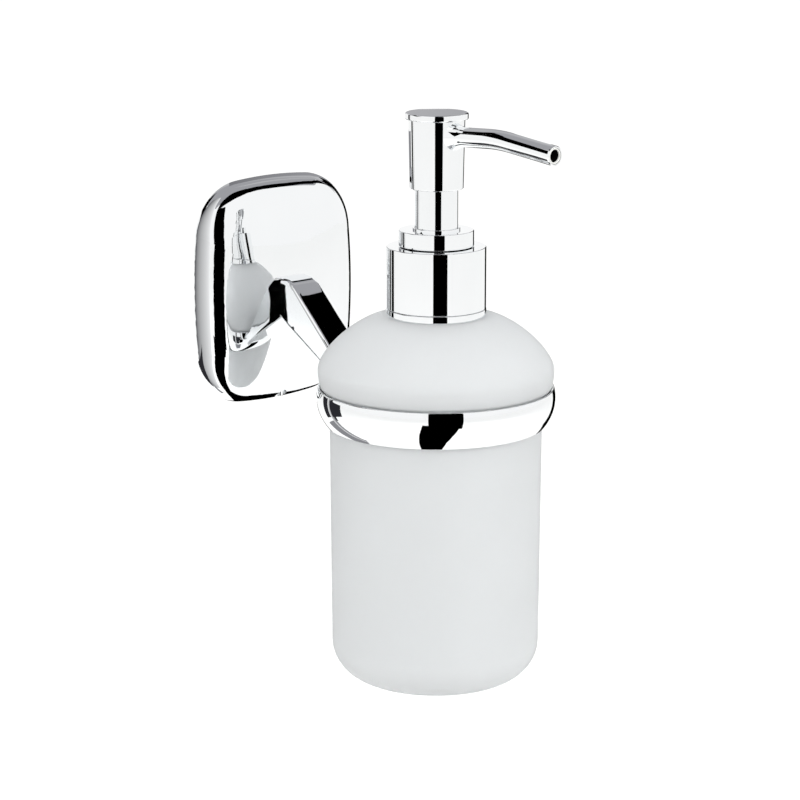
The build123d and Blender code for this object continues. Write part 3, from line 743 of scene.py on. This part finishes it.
def carry(*rings):
    """Extrude the selected ring to each (reach, half width, half height) in turn."""
    for reach, half_width, half_height in rings:
        piece = bpy.context.object
        mesh = bmesh.from_edit_mesh(piece.data)
        points = [vert.co for vert in mesh.verts if vert.select]
        middle_now = sum(points, Vector()) / len(points)
        wide = max(p.x for p in points) - middle_now.x
        tall = max(p.z for p in points) - middle_now.z
        goal = axis + Vector((0, -reach, spout_level(reach))) * mm - piece.location
        bpy.ops.mesh.extrude_region_move(TRANSFORM_OT_translate={"value": goal - middle_now})
        bpy.ops.transform.resize(value=(half_width * mm / wide, 1, half_height * mm / tall),
                                 center_override=goal + piece.location)


def carry_round(radius, *reaches):
    """Extrude the selected ring as a round tube to each reach in turn."""
    carry(*[(reach, radius, radius) for reach in reaches])


print("tubes have", tube_sides, "sides")

# %% Spout
tube_radius, lip_radius, hole_radius = 3.15, 2.95, 2.55
root_width, root_height = 4.6, 5.2
flare_length, flare_bow, flare_steps = 6.7, 2.1, 12
spout = upright_ring("flared_spout", root_reach, root_width)
carry((root_reach, root_width, root_height))
for step in range(1, flare_steps + 1):
    share = step / flare_steps
    left = (1 - share) ** flare_bow
    carry((root_reach + flare_length * share, tube_radius + (root_width - tube_radius) * left,
           tube_radius + (root_height - tube_radius) * left))
bend = [bend_reach + offset for offset in range(-half_bend, half_bend + 1)]
carry_round(tube_radius, 18, *bend, 38, 43, 48, 52.3)
carry_round(lip_radius, tip_reach)
carry_round(hole_radius, tip_reach, 48, 33, 24, root_reach)
close_wall()
dress(spout, "head", "polished_chrome", "spout")

# %% Liner of the spout
liner_start, liner_radius, liner_bore = 6.6, 2.5, 1.95
outward_bend = 24, bend_reach, 33
homeward_bend = 33, bend_reach, 24
liner = upright_ring("spout_liner_tube", liner_start, liner_radius)
carry_round(liner_radius, *outward_bend, 52.3)
carry_round(2.35, 52.5)
carry_round(2.05, 52.5)
carry_round(liner_bore, 52.2, *homeward_bend, liner_start)
close_wall()
dress(liner, "head", "white_plastic", "spout_liner")

# %% Painted shade in the bore
shade_lining_radius, shade_lining_bore, shade_lining_end = 1.94, 1.85, 52.0
bore = upright_ring("spout_bore_painted_shade", liner_start, shade_lining_radius)
carry_round(shade_lining_radius, *outward_bend, shade_lining_end)
carry_round(shade_lining_bore, shade_lining_end, *homeward_bend, liner_start)
close_wall()
dress(bore, "head", "white_plastic", "spout_liner")
# The lining takes the near-black polypropylene, painted shade where no light reaches.
bore.data.materials.clear()
bore.data.materials.append(unlit)

# %% [markdown]
# ## The arm
# The arm is one casting. It leaves the plate level, turns down through a soft knee and runs
# out to the ring, where its sides open a little to meet the ring's curve. It starts as a
# block at the plate and is extruded station by station. Each station has its own reach, top,
# bottom and half widths. The long edges are rounded last, as the grinder leaves them.

# %% Arm
root_half = Vector((6.1, 1.5, 6.5)) * mm
root_middle = Vector((0, -6.5, -1.3)) * mm
stations = [(-9, 5.6, -7.6, 6.1, 6.1), (-12, 5.5, -8.6, 6.1, 6.1), (-15.5, 5.1, -10.9, 6.1, 6.1),
            (-19, 3.2, -13.1, 6.1, 6.0), (-23, -0.6, -15.5, 6.0, 5.9),
            (-29, -6.3, -19.1, 6.0, 5.8), (-36, -12.8, -23.3, 6.3, 5.7),
            (-42, -18.4, -26.9, 7.4, 5.6), (-46.5, -22.0, -28.9, 8.6, 5.5)]
bpy.ops.object.select_all(action="DESELECT")
bpy.ops.mesh.primitive_cube_add(size=2, location=root_middle)
arm = bpy.context.object
arm.name = "cast_arm"
arm.scale = root_half
bpy.ops.object.transform_apply(location=True, rotation=True, scale=True)
bpy.ops.object.mode_set(mode="EDIT")
bpy.ops.mesh.select_mode(type="FACE")
bpy.ops.mesh.select_all(action="DESELECT")
mesh = bmesh.from_edit_mesh(arm.data)
for facet in mesh.faces:
    facet.select_set(facet.normal.y < -0.9)
bmesh.update_edit_mesh(arm.data)
for reach, top, bottom, top_half, bottom_half in stations:
    bpy.ops.mesh.extrude_region_move()
    mesh = bmesh.from_edit_mesh(arm.data)
    front = [vert for vert in mesh.verts if vert.select]
    level = sum(vert.co.z for vert in front) / len(front)
    for vert in front:
        high = vert.co.z > level
        side = 1 if vert.co.x > 0 else -1
        vert.co = Vector((side * (top_half if high else bottom_half), reach,
                          top if high else bottom)) * mm
    bmesh.update_edit_mesh(arm.data)
print("arm has", len(stations), "stations")

# %% Edges of the arm
edge_round, least_run, most_slant = 1.6, 0.4, 3
bpy.ops.mesh.select_mode(type="EDGE")
bpy.ops.mesh.select_all(action="DESELECT")
mesh = bmesh.from_edit_mesh(arm.data)
for edge in mesh.edges:
    run = edge.verts[0].co - edge.verts[1].co
    edge.select_set(abs(run.y) > least_run * mm and abs(run.x) < most_slant * mm)
bmesh.update_edit_mesh(arm.data)
bpy.ops.mesh.bevel(offset=edge_round * mm, segments=round_steps, affect="EDGES")
bpy.ops.mesh.select_mode(type="VERT")
dress(arm, "wall_mount", "polished_chrome", "holder_arm")

# %% [markdown]
# ## Return spring
# The spring lies under the piston, inside the pump, and the piston never runs through it. It
# is made as one turning wire.

# %% Return spring
coil_radius, wire_radius, turns = 4.3, 0.4, 8
wire_sides, steps_per_turn = 12, 32
coil_foot, coil_top, stroke = -20.1, 2.4, 12.0
length = coil_top - coil_foot
bpy.ops.object.select_all(action="DESELECT")
bpy.ops.mesh.primitive_circle_add(
    vertices=wire_sides, radius=wire_radius * mm,
    location=axis + Vector((0, 0, (coil_foot + wire_radius) * mm)))
coil = bpy.context.object
coil.name = "coiled_spring"
bpy.ops.object.mode_set(mode="EDIT")
bpy.ops.mesh.select_all(action="SELECT")
bpy.ops.transform.rotate(value=pi / 2, orient_axis="X", center_override=coil.location)
bpy.ops.transform.translate(value=(coil_radius * mm, 0, 0))
bpy.ops.object.mode_set(mode="OBJECT")
bpy.ops.object.modifier_add(type="SCREW")
winding = coil.modifiers[-1]
winding.axis = "Z"
winding.screw_offset = (length - 2 * wire_radius) / turns * mm
winding.iterations = turns
winding.steps = winding.render_steps = steps_per_turn
bpy.ops.object.modifier_apply(modifier=winding.name)
bpy.ops.object.mode_set(mode="EDIT")
bpy.ops.mesh.select_mode(type="EDGE")
bpy.ops.mesh.select_all(action="SELECT")
bpy.ops.mesh.fill_holes(sides=0)
dress(coil, "pump", "stainless_steel", "return_spring")
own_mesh(coil)

# %% [markdown]
# ## Solids that keep their shape
# A CAD solid whose shape is right stays, and takes its finish by the slot that the record
# names for it.

# %% Finishes on the solids
for name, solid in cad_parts.items():
    for slot in solid.material_slots:
        slot.material = finish[slot.material.name.split(".")[0]]
print(len(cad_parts), "solids have their finish")
